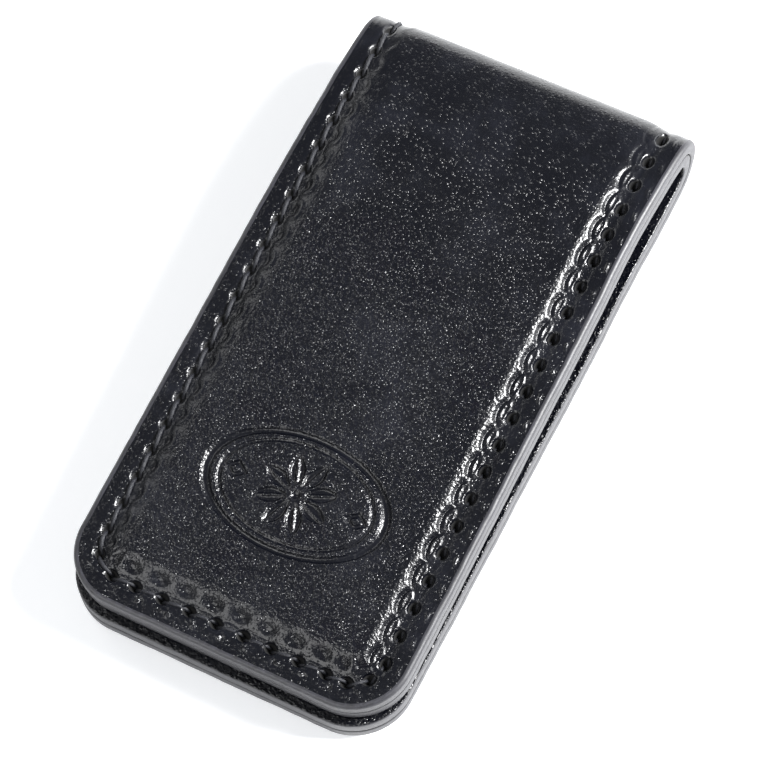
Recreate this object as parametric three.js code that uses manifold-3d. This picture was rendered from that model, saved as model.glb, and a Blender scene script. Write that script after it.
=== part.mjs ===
// Magnetic money clip: one sewn leather strip folded in half, with the fold at +Y and the mouth at -Y.
// Millimetres, +Z up. The lower flap lies flat on its raised panel, and the upper flap rises to the fold.
import * as THREE from 'three';
import { mergeVertices } from 'three/addons/utils/BufferGeometryUtils.js';
import Module from 'manifold-3d';

// Driving dimensions
const WIDTH = 45;
const LENGTH = 88;
const LOWER_LIP = 1; // how far the lower flap reaches past the upper one at the mouth
const CORNER_RADIUS = 7.5;
const PLY = 1.8; // thickness of the outer cover, and of the lining
const FILLER = 1; // thickness of the filler, which raises the panel by as much
const EDGE_ROUND = 1.3; // rounding of the painted outer edge
const GLUE_GAP = 0.1; // clearance between neighbouring pieces

const SEAM_INSET = 3.3;
const SEAM_CORNER = 4;
const THREAD_WIDTH = 0.8;
const THREAD_HEIGHT = 0.5;
const THREAD_PROUD = 0.1; // how far the needle thread stands out of its groove
const THREAD_SLACK = 0.2; // clearance on each side of a thread in its groove

const PANEL_INSET = 0.8; // from the seam to the foot of the raised panel
const SHOULDER = 1.5; // run of the panel's rounded shoulder
const FILLER_INSET = 1.4; // from the foot of the panel to the filler's edge
const MAGNET_RADIUS = 6;
const MAGNET_SPREAD = 17; // between the centres of a flap's two magnets
const MAGNET_SETBACK = 14; // from the mouth to the magnets' centres

const MOUTH_GAP = 0.2;
const FLAP_RISE = THREE.MathUtils.degToRad(3.9); // slope of the upper flap
const FOLD_START = 22; // where the flat flaps end and the fold begins
const FOLD_RADIUS = 3.3; // bend radius where cover and lining meet
const FOLD_LIFT = 0.5; // how far the lower flap rises into the fold
const FOLD_REACH = 4; // length of the curve handles that lead into the bend
const BEND_FILLER = 0.3; // thickness that the filler thins to round the bend
const TOP_ENTRY = THREE.MathUtils.degToRad(18); // where the bend meets the upper flap's curve
const BOTTOM_ENTRY = THREE.MathUtils.degToRad(15);

// Worked out from the driving dimensions
const HALF_WIDTH = WIDTH / 2;
const SEAM_X = HALF_WIDTH - SEAM_INSET;
const PANEL_X = SEAM_X - PANEL_INSET;
const FILLER_X = PANEL_X - FILLER_INSET;
const FILLER_CORNER = SEAM_CORNER - FILLER_INSET;
const LOWER_GLUE_Z = FILLER + PLY;
const MOUTH_Y = -LENGTH / 2;
const UPPER_RUN = FOLD_START - MOUTH_Y - LOWER_LIP;
const UPPER_GLUE_Z = LOWER_GLUE_Z + 2 * PLY + MOUTH_GAP + UPPER_RUN * Math.tan(FLAP_RISE);
const LOWER_LENGTH = FOLD_START - MOUTH_Y;
const UPPER_LENGTH = UPPER_RUN / Math.cos(FLAP_RISE);
const FOLD_CENTRE_Y = LENGTH / 2 - BEND_FILLER - PLY - FOLD_RADIUS;
const FOLD_CENTRE_Z = LOWER_GLUE_Z + FOLD_LIFT + FOLD_RADIUS;

const wasm = await Module();
wasm.setup();

function toSolid(geometry) {
  const bare = geometry.index ? geometry.toNonIndexed() : geometry.clone();
  bare.deleteAttribute('normal');
  bare.deleteAttribute('uv');
  const merged = mergeVertices(bare, 1e-5);
  return new wasm.Manifold(new wasm.Mesh({
    numProp: 3,
    vertProperties: new Float32Array(merged.attributes.position.array),
    triVerts: new Uint32Array(merged.index.array),
  }));
}

function toGeometry(solid) {
  const mesh = solid.getMesh();
  const geometry = new THREE.BufferGeometry();
  geometry.setAttribute('position', new THREE.BufferAttribute(mesh.vertProperties, 3));
  geometry.setIndex(new THREE.BufferAttribute(mesh.triVerts, 1));
  geometry.computeVertexNormals();
  return geometry;
}

function box(x0, x1, y0, y1, z0, z1) {
  const geometry = new THREE.BoxGeometry(x1 - x0, y1 - y0, z1 - z0);
  geometry.translate((x0 + x1) / 2, (y0 + y1) / 2, (z0 + z1) / 2);
  return toSolid(geometry);
}

// Flaps. Each is built in its own frame: the glue plane is z = 0, the cover is above it and the lining
// below, the fold's edge is y = 0 and the mouth is at y = -length.

const OVERRUN = 5; // how far an outline runs past the fold's edge before it is cut off there

function flapOutline(halfWidth, front, radius) {
  const shape = new THREE.Shape();
  shape.moveTo(-halfWidth, OVERRUN);
  shape.lineTo(-halfWidth, front + radius);
  shape.absarc(-halfWidth + radius, front + radius, radius, Math.PI, 1.5 * Math.PI, false);
  shape.absarc(halfWidth - radius, front + radius, radius, 1.5 * Math.PI, 2 * Math.PI, false);
  shape.lineTo(halfWidth, OVERRUN);
  shape.closePath();
  return shape;
}

function slab(shape, z0, z1) {
  const geometry = new THREE.ExtrudeGeometry(shape, {
    depth: z1 - z0,
    bevelEnabled: false,
    curveSegments: 8,
  });
  geometry.translate(0, 0, z0);
  return toSolid(geometry);
}

// A slab whose upper rim is rounded over rise x run; its mirrored lower half is cut off or joined later.
function roundedSlab(shape, z1, rise, run) {
  const geometry = new THREE.ExtrudeGeometry(shape, {
    depth: 2 * (z1 - rise),
    bevelThickness: rise,
    bevelSize: run,
    bevelOffset: -run,
    bevelSegments: 3,
    curveSegments: 8,
  });
  geometry.translate(0, 0, rise - z1);
  return toSolid(geometry);
}

function flapWindow(length, z0, z1) {
  return box(-HALF_WIDTH - 1, HALF_WIDTH + 1, -length - 1, -GLUE_GAP / 2, z0, z1);
}

function seamBand(length, halfBand, z0, z1) {
  const front = -length + SEAM_INSET;
  const outer = flapOutline(SEAM_X + halfBand, front - halfBand, SEAM_CORNER + halfBand);
  const inner = flapOutline(SEAM_X - halfBand, front + halfBand, SEAM_CORNER - halfBand);
  return slab(outer, z0, z1).subtract(slab(inner, z0 - 1, z1 + 1)).intersect(flapWindow(length, z0, z1));
}

const grooveHalf = THREAD_WIDTH / 2 + THREAD_SLACK;
const needleTop = PLY + THREAD_PROUD;
const needleBottom = needleTop - THREAD_HEIGHT;
const bobbinBottom = -PLY + GLUE_GAP;
const bobbinTop = bobbinBottom + THREAD_HEIGHT;

function coverFlap(length) {
  const front = -length + SEAM_INSET + PANEL_INSET;
  const rim = flapOutline(HALF_WIDTH, -length, CORNER_RADIUS);
  const panel = flapOutline(PANEL_X, front, SEAM_CORNER);
  const pocketFront = front + FILLER_INSET - GLUE_GAP;
  const pocket = flapOutline(FILLER_X + GLUE_GAP, pocketFront, FILLER_CORNER + GLUE_GAP);
  return roundedSlab(rim, PLY, EDGE_ROUND, EDGE_ROUND)
    .add(roundedSlab(panel, PLY + FILLER, FILLER, SHOULDER))
    .subtract(slab(pocket, -PLY, FILLER))
    .subtract(seamBand(length, grooveHalf, needleBottom - GLUE_GAP, PLY + 1))
    .intersect(flapWindow(length, GLUE_GAP / 2, PLY + FILLER));
}

function liningFlap(length) {
  return slab(flapOutline(HALF_WIDTH, -length, CORNER_RADIUS), -PLY, -GLUE_GAP / 2)
    .subtract(seamBand(length, grooveHalf, -PLY - 1, bobbinTop + GLUE_GAP))
    .intersect(flapWindow(length, -PLY, 0));
}

function magnetBlank(length, side, radius, z0, z1) {
  const geometry = new THREE.CylinderGeometry(radius, radius, z1 - z0, 32);
  geometry.rotateX(Math.PI / 2);
  geometry.translate((side * MAGNET_SPREAD) / 2, -length + MAGNET_SETBACK, (z0 + z1) / 2);
  return toSolid(geometry);
}

function fillerFlap(length) {
  const front = -length + SEAM_INSET + PANEL_INSET + FILLER_INSET;
  const outline = flapOutline(FILLER_X, front, FILLER_CORNER);
  return slab(outline, GLUE_GAP / 2, FILLER - GLUE_GAP)
    .subtract(magnetBlank(length, -1, MAGNET_RADIUS + GLUE_GAP, -1, FILLER + 1))
    .subtract(magnetBlank(length, 1, MAGNET_RADIUS + GLUE_GAP, -1, FILLER + 1))
    .intersect(flapWindow(length, 0, FILLER));
}

// Fold. The line where cover and lining meet, in (y, z), is called the spine. It runs from the lower flap
// round the bend to the upper flap.

function onBend(angle) {
  return new THREE.Vector2(
    FOLD_CENTRE_Y + FOLD_RADIUS * Math.cos(angle),
    FOLD_CENTRE_Z + FOLD_RADIUS * Math.sin(angle),
  );
}

function foldSpine() {
  const bottomAngle = BOTTOM_ENTRY - Math.PI / 2;
  const topAngle = Math.PI / 2 - TOP_ENTRY;
  const bottom = onBend(bottomAngle);
  const top = onBend(topAngle);
  const slope = new THREE.Vector2(Math.cos(FLAP_RISE), Math.sin(FLAP_RISE));
  const start = new THREE.Vector2(FOLD_START + GLUE_GAP / 2, LOWER_GLUE_Z);
  const end = new THREE.Vector2(FOLD_START, UPPER_GLUE_Z).addScaledVector(slope, GLUE_GAP / 2);
  const bottomHandle = new THREE.Vector2(Math.sin(bottomAngle), -Math.cos(bottomAngle))
    .multiplyScalar(FOLD_REACH).add(bottom);
  const topHandle = new THREE.Vector2(-Math.sin(topAngle), Math.cos(topAngle))
    .multiplyScalar(FOLD_REACH).add(top);
  const startHandle = new THREE.Vector2(start.x + FOLD_REACH, start.y);
  const endHandle = end.clone().addScaledVector(slope, FOLD_REACH);
  const lead = new THREE.CubicBezierCurve(start, startHandle, bottomHandle, bottom);
  const lift = new THREE.CubicBezierCurve(top, topHandle, endHandle, end);
  const bend = (from, to) => new THREE.EllipseCurve(
    FOLD_CENTRE_Y, FOLD_CENTRE_Z, FOLD_RADIUS, FOLD_RADIUS, from, to, false,
  );
  return [lead, bend(bottomAngle, 0), bend(0, topAngle), lift];
}

// Points of the spine with the outward normal at each, so that every layer is an offset of the same line.
// The filler is at its full thickness at both ends, and thins over the two lead-in curves to BEND_FILLER.
function spineSamples() {
  const steps = [6, 6, 6, 8];
  const thinning = [(t) => t, () => 1, () => 1, (t) => 1 - t];
  const samples = [];
  foldSpine().forEach((curve, i) => {
    for (let k = i === 0 ? 0 : 1; k <= steps[i]; k += 1) {
      const t = k / steps[i];
      const tangent = curve.getTangent(t);
      const outward = new THREE.Vector2(tangent.y, -tangent.x);
      const share = THREE.MathUtils.smoothstep(thinning[i](t), 0, 1);
      const filler = THREE.MathUtils.lerp(FILLER, BEND_FILLER, share);
      samples.push({ point: curve.getPoint(t), outward, filler });
    }
  });
  return samples;
}

// The layers run past both ends of the spine, and foldWindow cuts them off there in one plane.
function withOverrun(spine) {
  const extend = ({ point, outward, filler }, sign) => {
    const along = new THREE.Vector2(-outward.y, outward.x).multiplyScalar(sign);
    return { point: point.clone().add(along), outward, filler };
  };
  return [extend(spine[0], -1), ...spine, extend(spine[spine.length - 1], 1)];
}

const samples = withOverrun(spineSamples());

// The spine moved outwards by a distance, and by the filler's thickness too for a layer over the filler.
function offsetLine(distance, overFiller) {
  return samples.map(({ point, outward, filler }) => {
    const offset = overFiller ? distance + filler : distance;
    return point.clone().addScaledVector(outward, offset);
  });
}

// A (y, z) outline made solid from x0 to x1.
function acrossWidth(x0, x1, outline) {
  const shape = new THREE.Shape(outline);
  const geometry = new THREE.ExtrudeGeometry(shape, { depth: x1 - x0, bevelEnabled: false });
  const toFrame = new THREE.Matrix4().makeBasis(
    new THREE.Vector3(0, 1, 0), new THREE.Vector3(0, 0, 1), new THREE.Vector3(1, 0, 0),
  );
  geometry.applyMatrix4(toFrame);
  geometry.translate(x0, 0, 0);
  return toSolid(geometry);
}

// A layer of the fold between two distances from the spine, from x0 to x1.
function foldBand(x0, x1, inner, outer, overFiller = false) {
  return acrossWidth(x0, x1, [...offsetLine(outer, overFiller), ...offsetLine(inner, false).reverse()]);
}

function foldWindow() {
  const first = samples[1].point;
  const last = samples[samples.length - 2];
  const above = last.point.clone().addScaledVector(last.outward, 2 * PLY + FILLER);
  const below = last.point.clone().addScaledVector(last.outward, -2 * PLY);
  return acrossWidth(-HALF_WIDTH - 1, HALF_WIDTH + 1, [
    new THREE.Vector2(first.x, -PLY),
    new THREE.Vector2(LENGTH, -PLY),
    new THREE.Vector2(LENGTH, above.y),
    above,
    below,
    new THREE.Vector2(first.x, below.y),
  ]);
}

function seamFoldBand(side, halfBand, inner, outer) {
  return foldBand(side * SEAM_X - halfBand, side * SEAM_X + halfBand, inner, outer);
}

function coverFold() {
  const pocketX = FILLER_X + GLUE_GAP;
  const grooveFloor = needleBottom - GLUE_GAP;
  const panelFlat = PANEL_X - SHOULDER / 2;
  return foldBand(-HALF_WIDTH, HALF_WIDTH, GLUE_GAP / 2, PLY)
    .add(foldBand(-panelFlat, panelFlat, PLY / 2, PLY, true))
    .subtract(foldBand(-pocketX, pocketX, -PLY / 2, 0, true))
    .subtract(seamFoldBand(-1, grooveHalf, grooveFloor, PLY + 1))
    .subtract(seamFoldBand(1, grooveHalf, grooveFloor, PLY + 1));
}

function liningFold() {
  const grooveFloor = bobbinTop + GLUE_GAP;
  return foldBand(-HALF_WIDTH, HALF_WIDTH, -PLY, -GLUE_GAP / 2)
    .subtract(seamFoldBand(-1, grooveHalf, -PLY - 0.5, grooveFloor))
    .subtract(seamFoldBand(1, grooveHalf, -PLY - 0.5, grooveFloor));
}

// Assembly

function material(color, roughness, metalness = 0) {
  return new THREE.MeshStandardMaterial({ color, roughness, metalness });
}

const leather = () => material(0x17181c, 0.45);
const liningLeather = () => material(0x141417, 0.7);
const board = () => material(0x6b4a34, 0.9);
const nickel = () => material(0xb9bcc0, 0.3, 1);
const thread = () => material(0x0c0c0e, 0.5);

function addPiece(parent, name, solid, finish) {
  const mesh = new THREE.Mesh(toGeometry(solid), finish);
  mesh.name = name;
  parent.add(mesh);
}

// leftSide is the sign of the flap's own X on the finished clip's left.
function addFlap(parent, which, length, leftSide) {
  addPiece(parent, `outer_cover_${which}`, coverFlap(length), leather());
  addPiece(parent, `lining_${which}`, liningFlap(length), liningLeather());
  addPiece(parent, `filler_board_${which}`, fillerFlap(length), board());
  [['left', leftSide], ['right', -leftSide]].forEach(([label, side]) => {
    const magnet = magnetBlank(length, side, MAGNET_RADIUS, GLUE_GAP / 2, FILLER - GLUE_GAP);
    addPiece(parent, `magnet_${which}_${label}`, magnet, nickel());
  });
  const needle = seamBand(length, THREAD_WIDTH / 2, needleBottom, needleTop);
  const bobbin = seamBand(length, THREAD_WIDTH / 2, bobbinBottom, bobbinTop);
  addPiece(parent, `needle_thread_${which}`, needle, thread());
  addPiece(parent, `bobbin_thread_${which}`, bobbin, thread());
}

const group = new THREE.Group();

const lowerFlap = new THREE.Group();
lowerFlap.position.set(0, FOLD_START, LOWER_GLUE_Z);
lowerFlap.rotation.y = Math.PI; // turned over, so its cover faces down
group.add(lowerFlap);
addFlap(lowerFlap, 'lower', LOWER_LENGTH, 1);

const upperFlap = new THREE.Group();
upperFlap.position.set(0, FOLD_START, UPPER_GLUE_Z);
upperFlap.rotation.x = FLAP_RISE;
group.add(upperFlap);
addFlap(upperFlap, 'upper', UPPER_LENGTH, -1);

function addFoldPiece(name, solid, finish) {
  addPiece(group, name, solid.intersect(foldWindow()), finish);
}

const fillerBand = foldBand(-FILLER_X, FILLER_X, GLUE_GAP / 2, -GLUE_GAP, true);
addFoldPiece('outer_cover_fold', coverFold(), leather());
addFoldPiece('lining_fold', liningFold(), liningLeather());
addFoldPiece('filler_fold', fillerBand, board());
[['left', -1], ['right', 1]].forEach(([label, side]) => {
  const needle = seamFoldBand(side, THREAD_WIDTH / 2, needleBottom, needleTop);
  const bobbin = seamFoldBand(side, THREAD_WIDTH / 2, bobbinBottom, bobbinTop);
  addFoldPiece(`needle_thread_fold_${label}`, needle, thread());
  addFoldPiece(`bobbin_thread_fold_${label}`, bobbin, thread());
});

export default group;
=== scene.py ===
"""Magnetic leather money clip: its looks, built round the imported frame. Shapes are in millimetres."""

import math

import bpy
import numpy as np
from mathutils import Matrix, Vector


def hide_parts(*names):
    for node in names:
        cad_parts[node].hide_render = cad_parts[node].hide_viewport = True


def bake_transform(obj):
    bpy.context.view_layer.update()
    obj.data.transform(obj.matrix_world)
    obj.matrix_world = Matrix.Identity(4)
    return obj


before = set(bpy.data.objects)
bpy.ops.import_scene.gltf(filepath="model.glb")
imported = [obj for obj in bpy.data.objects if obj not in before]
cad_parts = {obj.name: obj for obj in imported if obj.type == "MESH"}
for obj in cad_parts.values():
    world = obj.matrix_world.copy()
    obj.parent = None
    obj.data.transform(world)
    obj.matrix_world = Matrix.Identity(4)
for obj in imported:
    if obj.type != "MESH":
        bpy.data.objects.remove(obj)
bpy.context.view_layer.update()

MM = 0.001

# The strip: its plies, flaps and fold, as in the frame.
HALF_WIDTH = 22.5
MOUTH_Y = -44.0
LOWER_LIP = 1.0
CORNER = 7.5
PLY = 1.8
FILLER = 1.0
BEND_FILLER = 0.3
GLUE = 0.05  # half the clearance between neighbouring plies
LOWER_GLUE_Z = 2.8
MOUTH_GAP = 0.2
RISE = math.radians(3.9)
FOLD_START = 22.0
FOLD_RADIUS = 3.3
FOLD_REACH = 4.0
FOLD_CENTRE = np.array([38.6, 6.6])
BOTTOM_ENTRY = math.radians(15)
TOP_ENTRY = math.radians(18)

# The seam
SEAM_INSET = 3.3
SEAM_CORNER = 4.0
PITCH = 3.71
FRONT_HOLES = 8
FRONT_SHIFT = 0.33
FIRST_HOLE = {-1: 8.4, 1: 7.4}  # from the mouth to the first hole of the left and of the right side
CORNER_STITCHES = 3

# Sampling
ROW_STEP = 0.25
FINE_STEP = 0.17  # over the ornament, and across the upper cover
ARC_STEPS = 30
SPARE_ROWS = 2  # past the bend's middle, so that both halves shade alike there
CURVE_STEPS = 80
LATTICE = 64  # knots of the noise lattice each way
LATTICE_ORIGIN = 500  # where the plane's origin falls on the lattice

rng = np.random.default_rng(7)


# Small helpers


def smoothstep(low, high, value):
    t = np.clip((value - low) / (high - low), 0, 1)
    return t * t * (3 - 2 * t)


def bump(distance, radius, power=2):
    """1 at distance 0, falling to nothing a little past the radius."""
    return np.exp(-(np.abs(distance / radius) ** power))


class Noise:
    """Smooth lattice noise from -1 to 1 over a plane, with features about `size` millimetres across."""

    def __init__(self, size):
        self.size = size
        self.lattice = rng.uniform(-1, 1, (LATTICE, LATTICE))

    def knot(self, i, j):
        return self.lattice[i % LATTICE, j % LATTICE]

    def __call__(self, a, b):
        a = np.asarray(a) / self.size + LATTICE_ORIGIN
        b = np.asarray(b) / self.size + LATTICE_ORIGIN
        i = np.floor(a).astype(int)
        j = np.floor(b).astype(int)
        share_a = smoothstep(0, 1, a - i)
        share_b = smoothstep(0, 1, b - j)
        near = self.knot(i, j) * (1 - share_a) + self.knot(i + 1, j) * share_a
        far = self.knot(i, j + 1) * (1 - share_a) + self.knot(i + 1, j + 1) * share_a
        return near * (1 - share_b) + far * share_b


# The strip's centre line, called the spine: the line where cover and lining meet, in (y, z)


def bezier(p0, p1, p2, p3):
    t = np.linspace(0, 1, CURVE_STEPS)[:, None]
    return (1 - t) ** 3 * p0 + 3 * t * (1 - t) ** 2 * p1 + 3 * t**2 * (1 - t) * p2 + t**3 * p3


def on_bend(angle):
    return FOLD_CENTRE + FOLD_RADIUS * np.array([math.cos(angle), math.sin(angle)])


def bend_arc(start, end):
    return np.array([on_bend(a) for a in np.linspace(start, end, CURVE_STEPS)])


def spine_points():
    """Along the lower flap, into the bend, round it, and out along the upper flap."""
    level = np.array([1.0, 0.0])
    slope = np.array([math.cos(RISE), math.sin(RISE)])
    lower_tip = np.array([MOUTH_Y, LOWER_GLUE_Z])
    lower_end = np.array([FOLD_START, LOWER_GLUE_Z])
    upper_tip = np.array([MOUTH_Y + LOWER_LIP, LOWER_GLUE_Z + 2 * PLY + MOUTH_GAP])
    upper_end = upper_tip + slope * (FOLD_START - upper_tip[0]) / slope[0]
    low = BOTTOM_ENTRY - math.pi / 2
    high = math.pi / 2 - TOP_ENTRY
    low_handle = on_bend(low) + FOLD_REACH * np.array([math.sin(low), -math.cos(low)])
    high_handle = on_bend(high) + FOLD_REACH * np.array([-math.sin(high), math.cos(high)])
    lead = bezier(lower_end, lower_end + FOLD_REACH * level, low_handle, on_bend(low))
    lift = bezier(on_bend(high), high_handle, upper_end + FOLD_REACH * slope, upper_end)
    bend = [bend_arc(low, 0)[1:], bend_arc(0, high)[1:]]
    return np.concatenate([[lower_tip], lead, *bend, lift[1:], [upper_tip]])


class Spine:
    """Distances s run from the lower flap's mouth round the bend to the upper flap's mouth."""

    def __init__(self):
        self.points = spine_points()
        steps = np.diff(self.points, axis=0)
        self.s = np.concatenate([[0], np.cumsum(np.hypot(*steps.T))])
        headings = np.unwrap(np.arctan2(steps[:, 1], steps[:, 0]))
        between = (headings[1:] + headings[:-1]) / 2
        self.heading = np.concatenate([[headings[0]], between, [headings[-1]]])
        thinning = smoothstep(0, 1, np.linspace(0, 1, CURVE_STEPS))
        thinned = np.concatenate([[0], thinning, np.ones(2 * CURVE_STEPS - 2), 1 - thinning[1:], [0]])
        self.filler = FILLER + (BEND_FILLER - FILLER) * thinned
        self.length = self.s[-1]
        self.middle = self.s[2 * CURVE_STEPS - 1]

    def filler_at(self, s):
        return np.interp(s, self.s, self.filler)

    def place(self, x, s, h):
        """World points of places on the strip: across it, along it, and above the spine towards outside."""
        heading = np.interp(s, self.s, self.heading)
        y = np.interp(s, self.s, self.points[:, 0]) + h * np.sin(heading)
        z = np.interp(s, self.s, self.points[:, 1]) - h * np.cos(heading)
        return np.stack([x + 0 * y, y, z], axis=-1)


spine = Spine()


class Half:
    """One flap with its half of the fold. Distances q run from its mouth to the middle of the bend."""

    def __init__(self, name, bodies):
        self.name = name
        self.bodies = bodies
        self.upper = name == "upper"
        self.turn = 1 if self.upper else -1  # which way round its faces run
        self.reach = spine.length - spine.middle if self.upper else spine.middle
        self.holes = seam_holes(self.reach)

    def along(self, q):
        return spine.length - q if self.upper else q

    def place(self, x, q, h):
        return spine.place(x, self.along(q), h)


# The seam: p runs along it from the middle of the mouth, to the right when positive, and v runs inwards


SEAM_HALF = HALF_WIDTH - SEAM_INSET
SEAM_CENTRE_X = SEAM_HALF - SEAM_CORNER
SEAM_CENTRE_Q = SEAM_INSET + SEAM_CORNER
SEAM_ARC = SEAM_CORNER * math.pi / 2


def side_position(q):
    return SEAM_CENTRE_X + SEAM_ARC + q - SEAM_CENTRE_Q


def to_seam(x, q):
    """Seam coordinates (p, v) of points of a flap."""
    ax = np.abs(x)
    dx = ax - SEAM_CENTRE_X
    dq = SEAM_CENTRE_Q - q
    corner = (dx > 0) & (dq > 0)
    from_side = SEAM_HALF - ax
    from_front = q - SEAM_INSET
    p = np.where(from_side < from_front, side_position(q), ax)
    p = np.where(corner, SEAM_CENTRE_X + SEAM_CORNER * np.arctan2(dx, dq), p)
    v = np.where(corner, SEAM_CORNER - np.hypot(dx, dq), np.minimum(from_side, from_front))
    return np.where(x < 0, -p, p), v


def from_seam(p, v):
    """Points (x, q) of a flap from seam coordinates."""
    a = np.abs(p)
    angle = np.clip((a - SEAM_CENTRE_X) / SEAM_CORNER, 0, math.pi / 2)
    radius = SEAM_CORNER - v
    x = np.minimum(a, SEAM_CENTRE_X) + radius * np.sin(angle)
    q = SEAM_CENTRE_Q - radius * np.cos(angle) + np.maximum(a - SEAM_CENTRE_X - SEAM_ARC, 0)
    return np.where(p < 0, -x, x), q


def seam_holes(reach):
    """Positions p of a flap's needle holes, from the bend down the left side and up the right side."""
    front = FRONT_SHIFT + PITCH * (np.arange(FRONT_HOLES) - (FRONT_HOLES - 1) / 2)
    holes = [front]
    for side, last in ((-1, front[0]), (1, front[-1])):
        first = side * side_position(FIRST_HOLE[side])
        end = side * side_position(reach)
        count = round(abs(end - first) / PITCH)
        holes.append(np.linspace(first, end, count + 1))
        holes.append(np.linspace(last, first, CORNER_STITCHES + 1)[1:-1])
    return np.sort(np.concatenate(holes))


def nearest(values, p):
    """The nearest of some sorted values to each p, and its number."""
    number = np.searchsorted((values[1:] + values[:-1]) / 2, p)
    return values[number], number


# Marks by the seam


broad_noise = Noise(7.0)
soft_noise = Noise(2.2)
crease_noise = Noise(0.7)
edge_noise = Noise(5.0)
ply_noise = Noise(1.6)


class Oval:
    """An oval mark: its middle along the seam and inwards from it, its half sizes, and how strong it is."""

    def __init__(self, along, inwards, half_length, half_width, amount):
        self.middle = (along, inwards)
        self.half = (half_length, half_width)
        self.amount = amount

    def off(self, along, inwards):
        """0 in the middle of the oval and 1 on its outline."""
        return np.hypot((along - self.middle[0]) / self.half[0], (inwards - self.middle[1]) / self.half[1])


def on_right(p):
    return smoothstep(SEAM_CENTRE_X, SEAM_CENTRE_X + SEAM_ARC, p)


def on_left(p):
    return on_right(-p)


# The marks' shifts from the holes, in pitches
MARK_SHIFT_RIGHT = 0.05
MARK_SHIFT_LEFT = -0.5
MARK_SHIFT_FRONT = -0.33


def presser_marks(half, p):
    """Distance along the seam from the nearest presser-foot mark, and that mark's strength."""
    right, left = on_right(half.holes), on_left(half.holes)
    shift = MARK_SHIFT_RIGHT * right + MARK_SHIFT_LEFT * left + MARK_SHIFT_FRONT * (1 - left - right)
    marks = half.holes + PITCH * shift
    strength = np.random.default_rng(11).uniform(0.75, 1.1, len(marks))
    mark, number = nearest(marks, p)
    return p - mark, strength[number]


class SeamPlace:
    """Where points of a half lie by its seam: p and v, the nearest hole and mark, and their side."""

    def __init__(self, half, x, q):
        self.p, self.v = to_seam(x, q)
        self.to_hole = self.p - nearest(half.holes, self.p)[0]
        self.to_mark, self.strength = presser_marks(half, self.p)
        self.left, self.right = on_left(self.p), on_right(self.p)
        self.sides = self.left + self.right
        self.front = 1 - self.sides


# The ornament


def leaf(x, y, root, angle, length, width):
    """A leaf's pressed share: 1 inside its outline, less along its rib, and 0 outside."""
    c, s = math.cos(angle), math.sin(angle)
    a = 2 * ((x - root[0]) * c + (y - root[1]) * s) / length - 1
    b = 2 * (-(x - root[0]) * s + (y - root[1]) * c) / width
    inside = np.clip(1 - a * a, 0, 1) - np.abs(b)
    return smoothstep(0, 0.3, inside) * (1 - 0.75 * bump(b, 0.16))


ORNAMENT_Q = 21.5
ORNAMENT_HALF = (11.8, 7.4)
ORNAMENT_DEPTH = 0.3
BORDER_LINE = 0.36
INNER_LINE = 0.2
INNER_LINE_GAP = 1.1
ROSETTE_HEART = 0.55
PETALS = 8
PETAL_ROOT = 0.9
PETAL_SIZE = (4.5, 2.2)
STUD_X = 8.2
STUD_HALF = (1.6, 1.2)


def ornament(x, q):
    """A blind-stamped oval border round a plain rosette with a diamond at each side: depth in millimetres."""
    y = q - ORNAMENT_Q
    off_ring = (np.hypot(x / ORNAMENT_HALF[0], y / ORNAMENT_HALF[1]) - 1) * ORNAMENT_HALF[1]
    pressed = bump(off_ring, BORDER_LINE, 4)
    pressed = np.maximum(pressed, 0.7 * bump(off_ring + INNER_LINE_GAP, INNER_LINE, 4))
    pressed = np.maximum(pressed, bump(np.hypot(x, y), ROSETTE_HEART, 4))
    for k in range(PETALS):
        angle = 2 * math.pi * (k + 0.5) / PETALS
        root = (PETAL_ROOT * math.cos(angle), PETAL_ROOT * math.sin(angle))
        pressed = np.maximum(pressed, leaf(x, y, root, angle, *PETAL_SIZE))
    stud = np.abs(np.abs(x) - STUD_X) / STUD_HALF[0] + np.abs(y) / STUD_HALF[1]
    hollow = 1 - 0.8 * smoothstep(0.6, 0.35, stud)
    pressed = np.maximum(pressed, smoothstep(1.15, 0.85, stud) * hollow)
    return ORNAMENT_DEPTH * pressed


# Relief of the cover's and the lining's faces


PANEL_FOOT = 0.95  # from the seam
PANEL_FOOT_FRONT = 0.85
SHOULDER_RUN = 3.0
SHOULDER_RUN_RIGHT = 2.1
SHOULDER_POWER = 2.2
SHOULDER_POWER_RIGHT = 1.4
CROWN = 0.12
UNDERSIDE_CROWN = -0.06
CROWN_RUN = (2, 8)
SCALLOP = (1.15, 2.1)  # how far in the scallops' ends and middles reach
SCALLOP_PRESSED = 0.75
SCALLOP_GROOVE = (0.15, 0.2)  # depth and half width
RIGHT_RING = Oval(0.15, 1.12, 1.2, 0.34, 0.14)
LEFT_DIMPLE = Oval(0, 1.35, 0.8, 0.5, 0.9)
LEFT_CRESCENT = Oval(0, 1.3, 1.35, 1.05, 0.16)
FRONT_DIMPLE = Oval(0, 1.85, 1.1, 0.85, 0.98)
CHANNEL = (0.15, 0.6)  # depth and half width of the needle thread's channel
HOLE = Oval(0, 0, 0.72, 0.63, 1.1)
HOLE_LEFT_RELIEF = 0.5  # how much shallower the left side's holes are
DASH = Oval(-0.2, -1.9, 0.75, 0.2, 0.06)
DASH_RIGHT = 0.09  # how much higher the right side's dashes are
SCUFF = Oval(1.3, -1.2, 0.8, 0.55, 0.3)
BORDER_SWELL = (0.05, -1.3, 0.8)  # height, middle and half width
LINING_CHANNEL = (0.2, 0.6)
LINING_HOLE = Oval(0, 0, 0.5, 0.4, 0.8)


def arch(t, low, high, half_width):
    """An arched line over the seam's distance t: low at its ends and high in its middle."""
    return low + (high - low) * np.sqrt(np.clip(1 - (t / half_width) ** 2, 0, 1))


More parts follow.
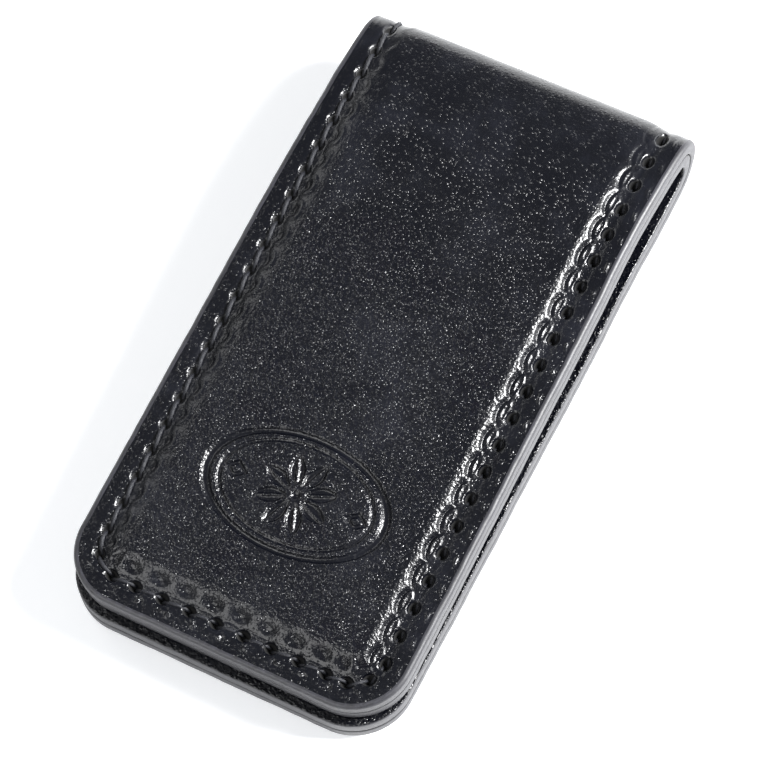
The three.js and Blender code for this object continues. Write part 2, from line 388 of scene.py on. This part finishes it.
def raised_panel(at, filler):
    """The panel over the filler, whose shoulder is steeper on the right."""
    foot = PANEL_FOOT + (PANEL_FOOT_FRONT - PANEL_FOOT) * at.front
    run = SHOULDER_RUN_RIGHT * at.right + SHOULDER_RUN * (1 - at.right)
    power = SHOULDER_POWER_RIGHT * at.right + SHOULDER_POWER * (1 - at.right)
    climb = np.clip((at.v - foot) / run, 0, 1)
    return filler * (1 - (1 - climb) ** power)


def press_foot_marks(at, height, pressed):
    """Presses the foot's marks into the shoulder: scallops and rings on the right, dimples elsewhere."""
    scallop = arch(at.to_mark, *SCALLOP, PITCH / 2)
    height -= SCALLOP_PRESSED * height * pressed * at.right * smoothstep(-0.1, 0.15, scallop - at.v)
    groove, groove_half = SCALLOP_GROOVE
    height -= groove * pressed * at.right * bump(at.v - scallop, groove_half)
    ring = RIGHT_RING.off(at.to_mark, at.v) - 1
    height += RIGHT_RING.amount * pressed * at.right * bump(ring, 0.42)
    dimple = LEFT_DIMPLE.amount * at.left * bump(LEFT_DIMPLE.off(at.to_mark, at.v), 1, 4)
    dimple += FRONT_DIMPLE.amount * at.front * bump(FRONT_DIMPLE.off(at.to_mark, at.v), 1)
    height -= height * np.clip(pressed * dimple, 0, 1)
    rim = bump(LEFT_CRESCENT.off(at.to_mark, at.v) - 1, 0.28) * smoothstep(1.2, 1.7, at.v)
    return height + LEFT_CRESCENT.amount * pressed * at.left * rim


def needle_line(at):
    """Depth of the thread's channel and of the holes."""
    depth, half_width = CHANNEL
    hole = (HOLE.amount - HOLE_LEFT_RELIEF * at.left) * bump(HOLE.off(at.to_hole, at.v), 1, 5)
    return depth * bump(at.v, half_width) + hole


def border_marks(at, x, q):
    """Small dashes outside the side seams, scuffs outside the front one, and a soft swell all along."""
    bowed = at.v + 0.25 * at.to_hole**2
    dashes = (DASH.amount + DASH_RIGHT * at.right) * at.sides * at.strength
    dashes *= bump(DASH.off(at.to_hole, bowed), 1)
    scuffed = SCUFF.amount * at.front * bump(SCUFF.off(at.to_hole, at.v), 1)
    swell, middle, half_width = BORDER_SWELL
    return dashes + scuffed * crease_noise(x * 1.7, q * 1.7) + swell * bump(at.v - middle, half_width)


def cover_relief(half, x, q):
    """Height of the cover's face above the flat border."""
    s = half.along(q)
    at = SeamPlace(half, x, q)
    filler = spine.filler_at(s)
    padded = (filler - BEND_FILLER) / (FILLER - BEND_FILLER)
    height = raised_panel(at, filler)
    height += (CROWN if half.upper else UNDERSIDE_CROWN) * padded * smoothstep(*CROWN_RUN, at.v)
    pressed = at.strength * (0.35 + 0.65 * padded) * (at.v > 0)
    height = press_foot_marks(at, height, pressed)
    height += border_marks(at, x, q) - needle_line(at)
    height += 0.02 * broad_noise(x, s) + 0.012 * soft_noise(x, s)
    height += 0.02 * bump(at.v - 0.5, 1.8) * crease_noise(at.p * 0.8, at.v * 1.4)
    if half.upper:
        height -= ornament(x, q)
    return height


def grain_share(half, x, q, h):
    """How much grain is left: less where the seam and the ornament press the leather flat."""
    _, v = to_seam(x, q)
    pressed = 0.55 * bump(v, 3.4, 6)
    if half.upper:
        stamped = np.clip(ornament(x, q) / ORNAMENT_DEPTH, 0, 1) * (h > 0)
        pressed = np.maximum(pressed, 0.8 * stamped)
    return 1 - pressed


def lining_relief(half, x, q):
    """Depth of the lining's face below its flat level: the bobbin thread's channel, holes and rough flesh."""
    at = SeamPlace(half, x, q)
    channel, half_width = LINING_CHANNEL
    depth = channel * bump(at.v, half_width)
    depth += LINING_HOLE.amount * bump(LINING_HOLE.off(at.to_hole, at.v), 1, 4)
    return depth + 0.03 * crease_noise(x, q) + 0.02 * soft_noise(x, q)


# Mesh building


ORNAMENT_MARGIN = 1.1


def layout(half, fine):
    """Anchor points of a flap's outline, with the outward direction at each, and its inner block's grid."""
    step = FINE_STEP if fine else 2 * ROW_STEP
    centre = HALF_WIDTH - CORNER
    columns = np.linspace(-centre, centre, round(2 * centre / step) + 1)
    rows = np.linspace(CORNER, half.reach, round((half.reach - CORNER) / ROW_STEP) + 1)
    if fine:
        near = np.abs(rows - ORNAMENT_Q) < ORNAMENT_HALF[1] + ORNAMENT_MARGIN
        between = np.arange(rows[near][0], rows[near][-1], FINE_STEP)
        rows = np.concatenate([rows[rows < between[0]], between, rows[rows > between[-1] + FINE_STEP / 2]])
    spare = half.reach + ROW_STEP * np.arange(1, SPARE_ROWS + 1)
    rows = np.concatenate([rows, spare])
    arc = np.linspace(0, math.pi / 2, ARC_STEPS + 1)[1:-1]
    anchors = [
        *[(-centre, q, -1, 0) for q in rows[::-1]],
        *[(-centre, CORNER, -math.cos(a), -math.sin(a)) for a in arc],
        *[(x, CORNER, 0, -1) for x in columns],
        *[(centre, CORNER, math.sin(a), -math.cos(a)) for a in arc],
        *[(centre, q, 1, 0) for q in rows],
    ]
    return np.array(anchors), columns, rows


class Builder:
    """Gathers the vertices and faces of one piece. Each vertex is (x, q, h) with an edge-finish share."""

    def __init__(self, half):
        self.half = half
        self.vertices = []
        self.count = 0
        self.quads, self.triangles, self.polygons = [], [], []

    def add(self, x, q, h, edge):
        x, q, h, edge = np.broadcast_arrays(*(np.asarray(a, float) for a in (x, q, h, edge)))
        rows = np.stack([x.ravel(), q.ravel(), h.ravel(), edge.ravel()], axis=1)
        numbers = np.arange(self.count, self.count + len(rows)).reshape(x.shape)
        self.vertices.append(rows)
        self.count += len(rows)
        return numbers

    def bridge(self, a, b):
        """Quads between two rows of vertex numbers, and triangles where two neighbours of b are the same."""
        quads = np.stack([a[:-1], a[1:], b[1:], b[:-1]], axis=1)
        pinched = quads[:, 2] == quads[:, 3]
        self.quads.append(quads[~pinched])
        self.triangles.append(quads[pinched][:, :3])

    def grid(self, numbers):
        for a, b in zip(numbers[:-1], numbers[1:]):
            self.bridge(a, b)


def vertex_normals(points, quads, triangles):
    """Normals weighted by area. A quad's area comes from its diagonals."""
    a, b, c, d = (points[quads[:, k]] for k in range(4))
    e, f, g = (points[triangles[:, k]] for k in range(3))
    normals = np.zeros_like(points)
    for faces, crosses in ((quads, np.cross(c - a, d - b)), (triangles, np.cross(f - e, g - e))):
        for column in faces.T:
            np.add.at(normals, column, crosses)
    lengths = np.linalg.norm(normals, axis=1, keepdims=True)
    return normals / np.maximum(lengths, 1e-12)


def to_object(name, points, faces, attributes, normals=None):
    mesh = bpy.data.meshes.new(name)
    mesh.from_pydata((points * MM).tolist(), [], faces)
    for key, values in attributes.items():
        kind = "FLOAT_VECTOR" if values.ndim == 2 else "FLOAT"
        field = "vector" if values.ndim == 2 else "value"
        mesh.attributes.new(key, kind, "POINT").data.foreach_set(field, values.astype(np.float32).ravel())
    mesh.polygons.foreach_set("use_smooth", [True] * len(mesh.polygons))
    if normals is not None:
        mesh.normals_split_custom_set_from_vertices(normals.tolist())
    mesh.update()
    piece = bpy.data.objects.new(name, mesh)
    bpy.context.scene.collection.objects.link(piece)
    return piece


def finish_shell(name, builder, inward):
    """Turns a builder's faces into an object. The spare rows past the bend's middle only help the shading."""
    half = builder.half
    x, q, h, edge = np.concatenate(builder.vertices).T
    points = half.place(x, q, h)
    quads = np.concatenate(builder.quads)
    triangles = np.concatenate(builder.triangles)
    if inward:
        quads, triangles = quads[:, ::-1], triangles[:, ::-1]
    normals = vertex_normals(points, quads, triangles)
    inside = q < half.reach + ROW_STEP / 4
    quads = quads[inside[quads].all(axis=1)]
    polygons = [p[::-1] if inward else p for p in builder.polygons]
    kept = np.flatnonzero(inside)
    renumber = np.full(len(inside), -1)
    renumber[kept] = np.arange(len(kept))
    faces = [*renumber[quads].tolist(), *renumber[triangles].tolist()]
    faces += [renumber[np.array(p)].tolist() for p in polygons]
    strip = np.stack([x, half.along(q), h], axis=1)
    attributes = {"strip": strip[kept], "edge": edge[kept], "grain": grain_share(half, x, q, h)[kept]}
    return to_object(name, points[kept], faces, attributes, normals[kept])


WAIST = 0.008  # how much of its width the strip loses beside the bend
WAIST_Q = 70
WAIST_RUN = 9


def shell(name, half, rim, face_insets, relief, side, full_block, pocket):
    """One ply of a half. side is 1 for the cover, outside the spine, and -1 for the lining, inside it."""
    anchors, columns, rows = layout(half, full_block and half.upper)
    ax, aq, nx, nq = anchors.T
    width = 1 - WAIST * bump(aq - WAIST_Q, WAIST_RUN)
    wave_p = aq * np.sign(ax) + ax
    build = Builder(half)

    def ring(inset, height, edge, detail):
        wave = 0.05 * edge_noise(wave_p, 3 * side) + 0.03 * ply_noise(wave_p, side + inset)
        reach = CORNER - inset + wave * bump(inset, 1.6)
        x = (ax + nx * reach) * width
        q = aq + nq * reach
        lift = relief(half, x, q) * detail if detail else 0
        return build.add(x, q, side * height + lift, edge)

    outer = [ring(inset, height, edge, 0) for inset, height, edge in rim]
    top_inset, top = rim[-1][0], rim[-1][1]
    fade = np.linspace(0.3, 1, 3)
    for k, inset in enumerate(face_insets):
        detail = fade[min(k, 2)]
        edge = 1 - smoothstep(top_inset, top_inset + 0.5, inset)
        outer.append(ring(inset, top, edge, detail))
    for a, b in zip(outer[:-1], outer[1:]):
        build.bridge(a, b)

    side_rows = len(rows)
    last = outer[-1]
    if full_block:
        grid_q, grid_x = np.meshgrid(rows, columns, indexing="ij")
        scale = np.interp(rows, aq[-side_rows:], width[-side_rows:])[:, None]
        heights = side * top + relief(half, grid_x * scale, grid_q)
        block = build.add(grid_x * scale, grid_q, heights, 0)
        build.grid(block)
        left_corner = np.full(ARC_STEPS - 1, block[0, 0])
        right_corner = np.full(ARC_STEPS - 1, block[0, -1])
        inner = [block[::-1, 0], left_corner, block[0], right_corner, block[:, -1]]
        build.bridge(last, np.concatenate(inner))
        face_row = list(block[-1 - SPARE_ROWS])
    else:
        ladder(build, last, side_rows)
        face_row = []

    glued = [outer[0]] + [ring(inset, height, 0, 0) for inset, height in pocket(half, aq)]
    for a, b in zip(glued[1:], glued[:-1]):
        build.bridge(a, b)
    ladder(build, glued[-1], side_rows, flip=True)
    cap(build, outer, face_row, glued)
    return finish_shell(name, build, inward=side * half.turn < 0)


def ladder(build, loop, side_rows, flip=False):
    """Flat rungs from the left side to the right side of a U-shaped loop, and one polygon at the mouth."""
    left, right = loop[:side_rows][::-1], loop[-side_rows:]
    rungs = np.stack([left[:-1], right[:-1], right[1:], left[1:]], axis=1)
    mouth = loop[side_rows - 1:len(loop) - side_rows + 1]
    build.quads.append(rungs[:, ::-1] if flip else rungs)
    build.polygons.append(mouth[::-1] if flip else mouth)


def cap(build, outer, face_row, glued):
    """Closes the half at the bend's middle, just before the spare rows."""
    left, right = SPARE_ROWS, -1 - SPARE_ROWS
    loop = [ring[left] for ring in outer] + face_row + [ring[right] for ring in outer[::-1]]
    loop += [ring[right] for ring in glued[1:]] + [ring[left] for ring in glued[:0:-1]]
    build.polygons.append(np.array(loop))


# Rings of a ply's cut edge: inset from its outline, height above the spine and share of the edge finish
CUT_EDGE = [(0.12, GLUE, 1), (0.04, 0.12, 1), (0.0, 0.25, 1)]
COVER_ROUND = 0.55
COVER_RIM = [*CUT_EDGE, (0.0, 0.5, 1)]
for degrees in (12, 24, 36, 48, 60, 72, 82, 90):
    turn = math.radians(degrees)
    COVER_RIM.append((COVER_ROUND * (1 - math.cos(turn)), PLY - COVER_ROUND * (1 - math.sin(turn)), 1))
LINING_RIM = [*CUT_EDGE, (0.0, 0.9, 1), (0.0, 1.5, 1), (0.03, 1.63, 1), (0.1, 1.74, 0.9), (0.22, 1.8, 0)]

# Insets of the rings across a ply's face, closest where the seam and the shoulder are
COVER_FACE = [0.7, 0.87]
for start, end, step in ((1.05, 2.2, 0.11), (2.2, 3.6, 0.2), (3.6, 6.0, 0.11), (6.0, 7.2, 0.25)):
    COVER_FACE.extend(np.arange(start, end, step))
LINING_FACE = [0.4, 0.7, 1.2, 1.7, *np.arange(2.1, 4.6, 0.18), 5.2, 6.0]


def cover_pocket(half, q):
    ceiling = spine.filler_at(half.along(q))
    return [(5.35, GLUE), (5.4, ceiling)]


def lining_pocket(half, q):
    return [(4.0, GLUE)]


# Stitches


THREAD_RADIUS = 0.22
LEFT_THREAD = 0.25  # how much thicker the left side's stitches look
THREAD_PLIES = 3
THREAD_LAY = 2.1  # length of one turn of the twist
STITCH_SLANT = 0.28
STITCH_RINGS = 15
STITCH_SIDES = 12


def stitch(p0, p1, side):
    """A stitch from one hole to the next, dipping into both: its surface as x, q and h."""
    u = np.linspace(0, 1, STITCH_RINGS)
    phi = np.linspace(0, 2 * math.pi, STITCH_SIDES, endpoint=False)
    length = p1 - p0
    offset = rng.uniform(-0.04, 0.04, 2)
    slant = STITCH_SLANT * side
    p = p0 + length * u
    v = 0.05 + np.interp(u, [0, 1], [-slant + offset[0], slant + offset[1]])
    rise = -1.2 * np.abs(2 * u - 1) ** 2.4 - 0.04 + 0.03 * rng.uniform(-1, 1)
    twist = THREAD_PLIES * (phi + 2 * math.pi * u[:, None] * length / THREAD_LAY)
    left = on_left(p)[:, None]
    radius = THREAD_RADIUS * (1 + LEFT_THREAD * left) * (1 + (0.13 + 0.07 * left) * np.cos(twist))
    above = radius * np.sin(phi) * 0.85
    slope = np.gradient(rise, p)[:, None]
    tilt = 1 / np.sqrt(1 + slope**2)
    tube_p = p[:, None] - above * slope * tilt
    x, q = from_seam(tube_p, v[:, None] + radius * np.cos(phi))
    sunk = 0.12 + 0.18 * on_right(tube_p) - 0.17 * on_left(tube_p)
    return x, q, side * (PLY - sunk + rise[:, None] + above * tilt)


def tube_faces(start):
    """Faces of a stitch whose vertices are numbered from start."""
    rings = start + np.arange(STITCH_RINGS * STITCH_SIDES).reshape(STITCH_RINGS, STITCH_SIDES)
    closed = np.concatenate([rings, rings[:, :1]], axis=1)
    quads = np.stack([closed[:-1, :-1], closed[1:, :-1], closed[1:, 1:], closed[:-1, 1:]], axis=-1)
    return quads.reshape(-1, 4).tolist() + [rings[0].tolist(), rings[-1, ::-1].tolist()]


def stitches(name, half, side):
    """Every stitch of a half on one face, of three-ply thread."""
    tubes = [stitch(p0, p1, side) for p0, p1 in zip(half.holes[:-1], half.holes[1:])]
    faces = []
    for k in range(len(tubes)):
        faces += tube_faces(k * STITCH_RINGS * STITCH_SIDES)
    x, q, h = (np.concatenate([tube[k].ravel() for tube in tubes]) for k in range(3))
    if side * half.turn > 0:
        faces = [face[::-1] for face in faces]
    strip = np.stack([x, half.along(q), h], axis=1)
    return to_object(name, half.place(x, q, h), faces, {"strip": strip})


FILLER_EDGE = 17.0
FILLER_ROWS = 60


def filler_half(half):
    """The filler's run through one half of the fold, from the flap's end to the bend's middle."""
    flap = spine.length - spine.s[-2] if half.upper else spine.s[1]
    q = np.linspace(flap + 0.1, half.reach, FILLER_ROWS)
    thickness = spine.filler_at(half.along(q)) - 0.1
    corners = [(-FILLER_EDGE, 0), (FILLER_EDGE, 0), (FILLER_EDGE, 1), (-FILLER_EDGE, 1)]
    loops = [half.place(x + 0 * q, q, GLUE + top * (thickness - GLUE)) for x, top in corners]
    points = np.stack(loops, axis=1).reshape(-1, 3)
    faces = []
    for k in range(len(q) - 1):
        for c in range(4):
            a = 4 * k + c
            b = 4 * k + (c + 1) % 4
            faces.append([a, b, b + 4, a + 4])
    faces += [[3, 2, 1, 0], [len(points) - 4 + c for c in range(4)]]
    if not half.upper:
        faces = [face[::-1] for face in faces]
    piece = to_object(f"filler_bend_{half.name}", points, faces, {"strip": points})
    piece.data.polygons.foreach_set("use_smooth", [False] * len(piece.data.polygons))
    return piece


# Materials


class Material:
    """A node material, with short calls for the nodes that this scene uses."""

    def __init__(self, name):
        self.material = bpy.data.materials.new(name)
        self.material.use_nodes = True
        self.tree = self.material.node_tree
        self.shader = self.tree.nodes["Principled BSDF"]

    def node(self, kind, **values):
        made = self.tree.nodes.new(kind)
        for key, value in values.items():
            setattr(made, key, value)
        return made

    def link(self, output, target):
        self.tree.links.new(output, target)

    def feed(self, target, value):
        if isinstance(value, bpy.types.NodeSocket):
            self.link(value, target)
        else:
            target.default_value = value

    def attribute(self, name):
        return self.node("ShaderNodeAttribute", attribute_name=name)

    def maths(self, operation, a, b=0.0):
        made = self.node("ShaderNodeMath", operation=operation)
        self.feed(made.inputs[0], a)
        self.feed(made.inputs[1], b)
        return made.outputs[0]

    def noise(self, vector, scale, detail=2.0, roughness=0.5):
        made = self.node("ShaderNodeTexNoise")
        self.link(vector, made.inputs["Vector"])
        made.inputs["Scale"].default_value = scale
        made.inputs["Detail"].default_value = detail
        made.inputs["Roughness"].default_value = roughness
        return made.outputs["Fac"]

    def cells(self, vector, scale):
        """Each point's distance from its cell's centre, in cells, and the cell's random share."""
        made = self.node("ShaderNodeTexVoronoi")
        self.link(vector, made.inputs["Vector"])
        made.inputs["Scale"].default_value = scale
        share = self.node("ShaderNodeSeparateColor")
        self.link(made.outputs["Color"], share.inputs[0])
        return made.outputs["Distance"], share.outputs[0]

    def stretch(self, vector, scale):
        made = self.node("ShaderNodeMapping")
        self.link(vector, made.inputs["Vector"])
        made.inputs["Scale"].default_value = scale
        return made.outputs["Vector"]

    def ramp(self, value, low, high):
        """The value with the ends of its range, low, mapped to the two ends in high."""
        made = self.node("ShaderNodeMapRange")
        self.link(value, made.inputs["Value"])
        for side, ends in (("From", low), ("To", high)):
            made.inputs[f"{side} Min"].default_value = ends[0]
            made.inputs[f"{side} Max"].default_value = ends[1]
        return made.outputs["Result"]

    def mix(self, share, a, b):
        made = self.node("ShaderNodeMix", data_type="RGBA")
        self.feed(made.inputs["Factor"], share)
        self.feed(made.inputs["A"], a)
        self.feed(made.inputs["B"], b)
        return made.outputs["Result"]

    def sum(self, *parts):
        """The sum of (value, factor) pairs."""
        total = 0.0
        for value, factor in parts:
            total = self.maths("ADD", self.maths("MULTIPLY", value, factor), total)
        return total

    def bump(self, height):
        """Relief from a height in millimetres."""
        made = self.node("ShaderNodeBump")
        self.link(height, made.inputs["Height"])
        made.inputs["Distance"].default_value = MM
        self.link(made.outputs["Normal"], self.shader.inputs["Normal"])


BLACK = (0.0024, 0.0030, 0.0070, 1)
# Painted shade in the leather grain's hollows, and the thread's darker fibres
DEEP_BLACK = (0.0010, 0.0013, 0.0030, 1)
WORN = (0.0070, 0.0082, 0.0150, 1)
# Painted shade for the needle holes and the thread channels
PAINTED_PIT_SHADE = (0.0008, 0.0008, 0.001, 1)


def grain(m, strip, cells_per_mm, coarseness):
    """Leather grain in millimetres: low pebbles, soft folds, and small hard domes that catch the light."""
    pebble, _ = m.cells(m.stretch(strip, (1.0, 0.8, 1.0)), cells_per_mm)
    dome, luck = m.cells(strip, cells_per_mm)
    domes = m.maths("MULTIPLY", m.ramp(m.maths("POWER", dome, 2.0), (0.0, 0.14), (1.0, 0.0)), luck)
    folds = m.noise(strip, cells_per_mm, 1.0)
    along = m.node("ShaderNodeSeparateXYZ")
    m.link(strip, along.inputs[0])
    from_bend = m.maths("ABSOLUTE", m.maths("SUBTRACT", along.outputs["Y"], float(spine.middle)))
    calm = m.ramp(from_bend, (6.0, 36.0), (0.3, 1.0))
    relief = m.sum((m.ramp(pebble, (0.1, 0.7), (1.0, 0.0)), 0.03), (domes, 0.15), (folds, 0.17))
    calm = m.maths("MULTIPLY", calm, m.attribute("grain").outputs["Fac"])
    return m.maths("MULTIPLY", m.maths("MULTIPLY", relief, calm), coarseness), along.outputs["Z"]


def leather(name, cells_per_mm, coarseness, gloss):
    m = Material(name)
    strip = m.attribute("strip").outputs["Vector"]
    height, off_spine = grain(m, strip, cells_per_mm, coarseness)
    # The needle holes and thread channels, where the face lies less than 1.66 mm from the spine, get a
    # near-black colour as painted shade in the hollows; they are also made fully rough.
    pit_shade_and_roughness = m.ramp(m.maths("ABSOLUTE", off_spine), (1.3, 1.66), (1.0, 0.0))
    cloud = m.noise(strip, 0.12, 4.0, 0.6)
    # The grain's low places get the darker DEEP_BLACK and its high places BLACK: painted shade in the grain's
    # hollows.
    depth = m.ramp(height, (0.08 * coarseness, 0.2 * coarseness), (0.0, 1.0))
    face = m.mix(m.ramp(cloud, (0.5, 0.8), (0.0, 0.5)), m.mix(depth, DEEP_BLACK, BLACK), WORN)
    m.link(m.mix(pit_shade_and_roughness, face, PAINTED_PIT_SHADE), m.shader.inputs["Base Color"])
    m.link(m.maths("MAXIMUM", m.ramp(cloud, (0.3, 0.7), gloss), pit_shade_and_roughness), m.shader.inputs["Roughness"])
    m.bump(height)
    return m.material


def edge_paint():
    m = Material("edge_paint")
    strip = m.attribute("strip").outputs["Vector"]
    streaks = m.noise(m.stretch(strip, (1.0, 0.15, 5.0)), 1.5, 4.0, 0.6)
    specks = m.noise(strip, 3.0, 3.0, 0.6)
    place = m.node("ShaderNodeSeparateXYZ")
    m.link(strip, place.inputs[0])
    ply_line = m.ramp(m.maths("ABSOLUTE", place.outputs["Z"]), (0.1, 0.35), (0.0, 1.0))
    tone = m.maths("MULTIPLY", m.ramp(streaks, (0.35, 0.7), (0.0, 1.0)), ply_line)
    m.link(m.mix(tone, (0.006, 0.006, 0.009, 1), (0.022, 0.022, 0.030, 1)), m.shader.inputs["Base Color"])
    m.link(m.ramp(specks, (0.3, 0.7), (0.50, 0.65)), m.shader.inputs["Roughness"])
    m.bump(m.sum((streaks, 0.05), (specks, 0.015)))
    m.shader.inputs["Coat Weight"].default_value = 0.5
    m.shader.inputs["Coat Roughness"].default_value = 0.4
    return m.material


def seam_thread():
    m = Material("seam_thread")
    strip = m.attribute("strip").outputs["Vector"]
    fibres = m.noise(strip, 9.0, 3.0, 0.6)
    m.link(m.mix(fibres, DEEP_BLACK, WORN), m.shader.inputs["Base Color"])
    m.link(m.ramp(fibres, (0.3, 0.7), (0.45, 0.65)), m.shader.inputs["Roughness"])
    m.bump(m.sum((fibres, 0.08)))
    m.shader.inputs["Sheen Weight"].default_value = 0.03
    return m.material


def filler_board():
    m = Material("filler_board")
    place = m.node("ShaderNodeTexCoord").outputs["Object"]
    shreds = m.noise(place, 900.0, 5.0, 0.65)
    flake, _ = m.cells(place, 700.0)
    board = m.mix(m.ramp(shreds, (0.3, 0.7), (0.0, 1.0)), (0.075, 0.038, 0.02, 1), (0.21, 0.12, 0.065, 1))
    board = m.mix(m.ramp(flake, (0.0, 0.6), (0.4, 0.0)), board, (0.32, 0.2, 0.12, 1))
    m.link(board, m.shader.inputs["Base Color"])
    m.link(m.ramp(shreds, (0.3, 0.7), (0.75, 0.95)), m.shader.inputs["Roughness"])
    m.bump(m.sum((shreds, 0.15)))
    return m.material


def magnet_nickel():
    m = Material("magnet_nickel")
    place = m.node("ShaderNodeTexCoord").outputs["Object"]
    marks = m.noise(m.stretch(place, (1.0, 6.0, 1.0)), 1200.0, 3.0)
    m.link(m.mix(marks, (0.52, 0.52, 0.53, 1), (0.7, 0.7, 0.71, 1)), m.shader.inputs["Base Color"])
    m.link(m.ramp(marks, (0.3, 0.7), (0.18, 0.38)), m.shader.inputs["Roughness"])
    m.bump(m.sum((marks, 0.01)))
    m.shader.inputs["Metallic"].default_value = 1.0
    return m.material


materials = {
    "cover_leather": leather("cover_leather", 2.6, 1.0, (0.22, 0.34)),
    "lining_leather": leather("lining_leather", 2.2, 2.2, (0.24, 0.38)),
    "edge_paint": edge_paint(),
    "seam_thread": seam_thread(),
    "filler_board": filler_board(),
    "magnet_nickel": magnet_nickel(),
}


# Pieces


def paint_edges(piece):
    """Gives the faces of a ply's cut edge the edge finish."""
    mesh = piece.data
    mesh.materials.append(materials["edge_paint"])
    share = np.zeros(len(mesh.vertices), np.float32)
    mesh.attributes["edge"].data.foreach_get("value", share)
    for face in mesh.polygons:
        if min(share[v] for v in face.vertices) > 0.75:
            face.material_index = 1


def dress(piece, slot, half, *replaced):
    piece.data.materials.append(materials[slot])
    if "edge" in piece.data.attributes:
        paint_edges(piece)
    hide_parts(*replaced)
    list(half.bodies)
    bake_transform(piece)


def fold_sides(thread):
    return f"{thread}_fold_left", f"{thread}_fold_right"


def build_half(half):
    which = half.name
    name = f"cover_{which}"
    cover = shell(name, half, COVER_RIM, COVER_FACE, cover_relief, 1, True, cover_pocket)
    dress(cover, "cover_leather", half, f"outer_cover_{which}", "outer_cover_fold")
    name = f"lining_ply_{which}"
    lining = shell(name, half, LINING_RIM, LINING_FACE, lining_relief, -1, False, lining_pocket)
    dress(lining, "lining_leather", half, f"lining_{which}", "lining_fold")
    for thread, side in (("needle", 1), ("bobbin", -1)):
        piece = stitches(f"{thread}_stitches_{which}", half, side)
        node = f"{thread}_thread"
        dress(piece, "seam_thread", half, f"{node}_{which}", *fold_sides(node))
    dress(filler_half(half), "filler_board", half, "filler_fold")


def finish_kept(prefix, slot):
    """Gives the kept CAD nodes of one kind their own material."""
    for name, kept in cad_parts.items():
        if name.startswith(prefix):
            kept.data.materials.clear()
            kept.data.materials.append(materials[slot])


build_half(Half("lower", ("lower_flap", "fold")))
build_half(Half("upper", ("fold", "upper_flap")))
finish_kept("filler_board", "filler_board")
finish_kept("magnet", "magnet_nickel")


# Stage, light and camera


def floor():
    bpy.ops.mesh.primitive_plane_add(size=6)
    plane = bpy.context.object
    plane.name = "floor"
    m = Material("floor_white")
    place = m.node("ShaderNodeTexCoord").outputs["Object"]
    white = m.mix(m.noise(place, 3.0), (0.86, 0.865, 0.87, 1), (0.89, 0.895, 0.9, 1))
    m.link(white, m.shader.inputs["Base Color"])
    m.shader.inputs["Roughness"].default_value = 0.9
    m.shader.inputs["Specular IOR Level"].default_value = 0.1
    m.shader.inputs["Emission Color"].default_value = (0.95, 0.97, 1.0, 1)
    m.shader.inputs["Emission Strength"].default_value = 0.36
    plane.data.materials.append(m.material)


def softbox(name, azimuth, elevation, distance, size, power):
    """An area light that looks at the clip. Azimuth turns from +X towards +Y."""
    a, e = math.radians(azimuth), math.radians(elevation)
    out = Vector((math.cos(a) * math.cos(e), math.sin(a) * math.cos(e), math.sin(e)))
    light = bpy.data.lights.new(name, "AREA")
    light.shape = "RECTANGLE"
    light.size, light.size_y = size
    light.energy = power
    lamp = bpy.data.objects.new(name, light)
    bpy.context.scene.collection.objects.link(lamp)
    lamp.location = out * distance
    lamp.rotation_euler = out.to_track_quat("Z", "Y").to_euler()


def sky(strength):
    world = bpy.data.worlds.new("studio")
    world.use_nodes = True
    world.node_tree.nodes["Background"].inputs["Color"].default_value = (0.95, 0.97, 1.0, 1)
    world.node_tree.nodes["Background"].inputs["Strength"].default_value = strength
    bpy.context.scene.world = world


CAMERA_AZIMUTH = math.radians(37.3)
CAMERA_ELEVATION = math.radians(64.35)
CAMERA_ROLL = math.radians(-11.12)
CAMERA_DISTANCE = 438.6
CAMERA_TARGET = Vector((-0.04, 0, 0))
FOCAL_RATIO = 3500 / 770  # focal length over the picture's width


def camera():
    sin_a, cos_a = math.sin(CAMERA_AZIMUTH), math.cos(CAMERA_AZIMUTH)
    sin_e, cos_e = math.sin(CAMERA_ELEVATION), math.cos(CAMERA_ELEVATION)
    back = Vector((sin_a * cos_e, -cos_a * cos_e, sin_e))
    right = Vector((cos_a, sin_a, 0))
    rotation = Matrix((right, back.cross(right), back)).transposed() @ Matrix.Rotation(CAMERA_ROLL, 3, "Z")
    data = bpy.data.cameras.new("camera")
    data.sensor_width = 36
    data.lens = FOCAL_RATIO * data.sensor_width
    data.clip_start = 0.01
    view = bpy.data.objects.new("camera", data)
    view.matrix_world = Matrix.Translation((CAMERA_TARGET + back * CAMERA_DISTANCE) * MM) @ rotation.to_4x4()
    bpy.context.scene.collection.objects.link(view)
    bpy.context.scene.camera = view


camera()
floor()
sky(0.22)
softbox("key", 30, 34, 0.9, (0.32, 0.32), 30)
softbox("front", -113, 46, 0.9, (0.7, 0.6), 5)
softbox("left", 160, 32, 1.0, (0.5, 0.4), 1.4)
softbox("back_strip", 97, 5, 1.2, (2.4, 0.28), 5)
bpy.context.scene.view_settings.view_transform = "Standard"
